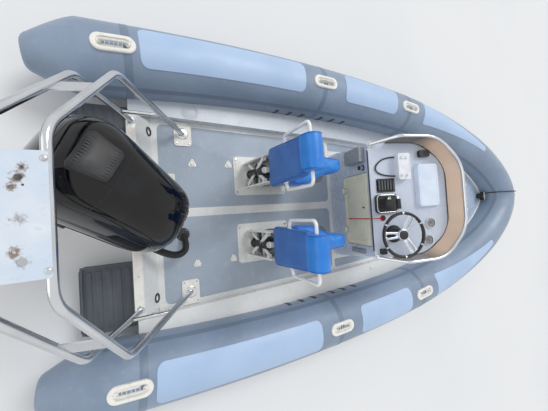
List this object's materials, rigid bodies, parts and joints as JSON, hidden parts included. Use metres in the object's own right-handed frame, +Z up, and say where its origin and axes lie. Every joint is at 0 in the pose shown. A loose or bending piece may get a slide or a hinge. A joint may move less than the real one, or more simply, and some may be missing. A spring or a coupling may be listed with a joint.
{
  "type": "rigid inflatable boat",
  "caption": "Rigid inflatable boat with a V hull, grey inflated collar, twin suspension seats, console with windscreen, stern arch and a tilted outboard motor.",
  "frame": {"origin": "on the waterline and the centreline, under the aft top edge of the transom", "axes": "+X forward to the bow, +Y to port, +Z up"},
  "size_m": [5.7524, 2.6744, 1.6022],
  "materials": {
    "tube_fabric": "satin coated fabric",
    "doubler_fabric": "satin coated fabric",
    "white_moulding": "moulded plastic",
    "white_gelcoat": "gloss gelcoat",
    "grey_gelcoat": "gloss gelcoat",
    "cream_gelcoat": "gloss gelcoat",
    "deck_nonslip": "fine non-slip",
    "polished_steel": "polished stainless",
    "dark_grey_paint": "worn paint",
    "pale_paint": "painted plate with rust stains",
    "white_paint": "powder coat",
    "pod_gloss": "gloss moulding",
    "seat_vinyl": "piped vinyl",
    "beige_moulding": "moulded door",
    "grey_moulding": "moulded plastic",
    "smoked_acrylic": "tinted acrylic",
    "black_plastic": "moulded plastic",
    "wheel_rubber": "soft rim",
    "motor_gloss": "gloss black",
    "motor_pan_paint": "gloss dark brown",
    "cast_block": "cast block",
    "propeller_steel": "polished stainless",
    "hose_rubber": "corrugated",
    "red_cord": "coiled cord",
    "black_rope": "braided rope"
  },
  "bodies": {
    "boat": {"arch_frame": "polished_steel", "arch_side_plates": "polished_steel", "arch_top_plate": "pale_paint", "bow_deck": "grey_gelcoat", "bow_eye": "polished_steel", "bow_knot": "black_rope", "bow_line": "black_rope", "bow_plate": "white_moulding", "bow_post": "polished_steel", "bow_rope_coil": "black_rope", "console_body": "grey_gelcoat", "console_fittings": "grey_moulding", "dash_controls": "black_plastic", "dash_display": "white_moulding", "dash_gauges": "black_plastic", "dash_microphone": "black_plastic", "dash_radio": "white_moulding", "dash_switches": "black_plastic", "dash_throttle": "black_plastic", "deck_fittings": "white_moulding", "deck_sole": "deck_nonslip", "helm_base": "black_plastic", "hull_bottom": "white_gelcoat", "lanyard_clip": "polished_steel", "mic_cord": "hose_rubber", "motor_clamp": "motor_gloss", "rigging_hose": "hose_rubber", "seat_back_port": "seat_vinyl", "seat_back_starboard": "seat_vinyl", "seat_bases": "white_paint", "seat_bolster_port": "seat_vinyl", "seat_bolster_starboard": "seat_vinyl", "seat_cushion_port": "seat_vinyl", "seat_cushion_starboard": "seat_vinyl", "seat_handles": "white_paint", "seat_pods": "pod_gloss", "seat_suspensions": "white_paint", "side_ledge_port": "grey_gelcoat", "side_ledge_starboard": "white_gelcoat", "stern_steps": "dark_grey_paint", "stop_lanyard": "red_cord", "transom": "grey_gelcoat", "tube_collar": "tube_fabric", "tube_doublers": "doubler_fabric", "tube_handles": "white_moulding", "windscreen": "smoked_acrylic", "windscreen_rail": "polished_steel"},
    "motor_bracket": {"motor_swivel": "motor_gloss"},
    "motor": {"motor_leg": "motor_gloss", "motor_pan": "motor_pan_paint", "motor_cowl": "motor_gloss", "motor_powerhead": "cast_block"},
    "propeller_body": {"propeller": "propeller_steel"},
    "helm": {"helm_wheel": "wheel_rubber"},
    "locker_lid_body": {"locker_lid": "cream_gelcoat"},
    "console_door_body": {"console_door": "beige_moulding"}
  },
  "joints": [
    {"name": "motor_tilt", "type": "hinge", "parent": "boat", "child": "motor_bracket", "pos_m": [-0.03, 0, 0.365], "axis": [0, 1, 0], "range_deg": [-27, 38], "deforming": ["rigging_hose"]},
    {"name": "motor_steer", "type": "hinge", "parent": "motor_bracket", "child": "motor", "pos_m": [-0.09682, 0, 0.39905], "axis": [0.454, 0, 0.891], "range_deg": [-2, 68], "deforming": ["rigging_hose"]},
    {"name": "propeller_spin", "type": "hinge", "parent": "motor", "child": "propeller_body", "pos_m": [-0.70176, 0.1977, -0.11763], "axis": [0.7473, -0.5446, -0.3807], "continuous": true},
    {"name": "wheel_turn", "type": "hinge", "parent": "boat", "child": "helm", "pos_m": [1.8228, -0.278, 1.0701], "axis": [-0.342, 0, 0.9397], "range_deg": [-1088, 32]},
    {"name": "lid_hinge", "type": "hinge", "parent": "boat", "child": "locker_lid_body", "pos_m": [4.094, 0, 0.432], "axis": [0, 1, 0], "range_deg": [0, 95]},
    {"name": "door_hinge", "type": "hinge", "parent": "boat", "child": "console_door_body", "pos_m": [1.8183, 0, 0.455], "axis": [0, -1, 0], "range_deg": [0, 95], "deforming": ["stop_lanyard", "lanyard_clip"]}
  ],
  "couplings": [
    {"joint": "wheel_turn", "follows": "motor_steer", "ratio": -16}
  ]
}
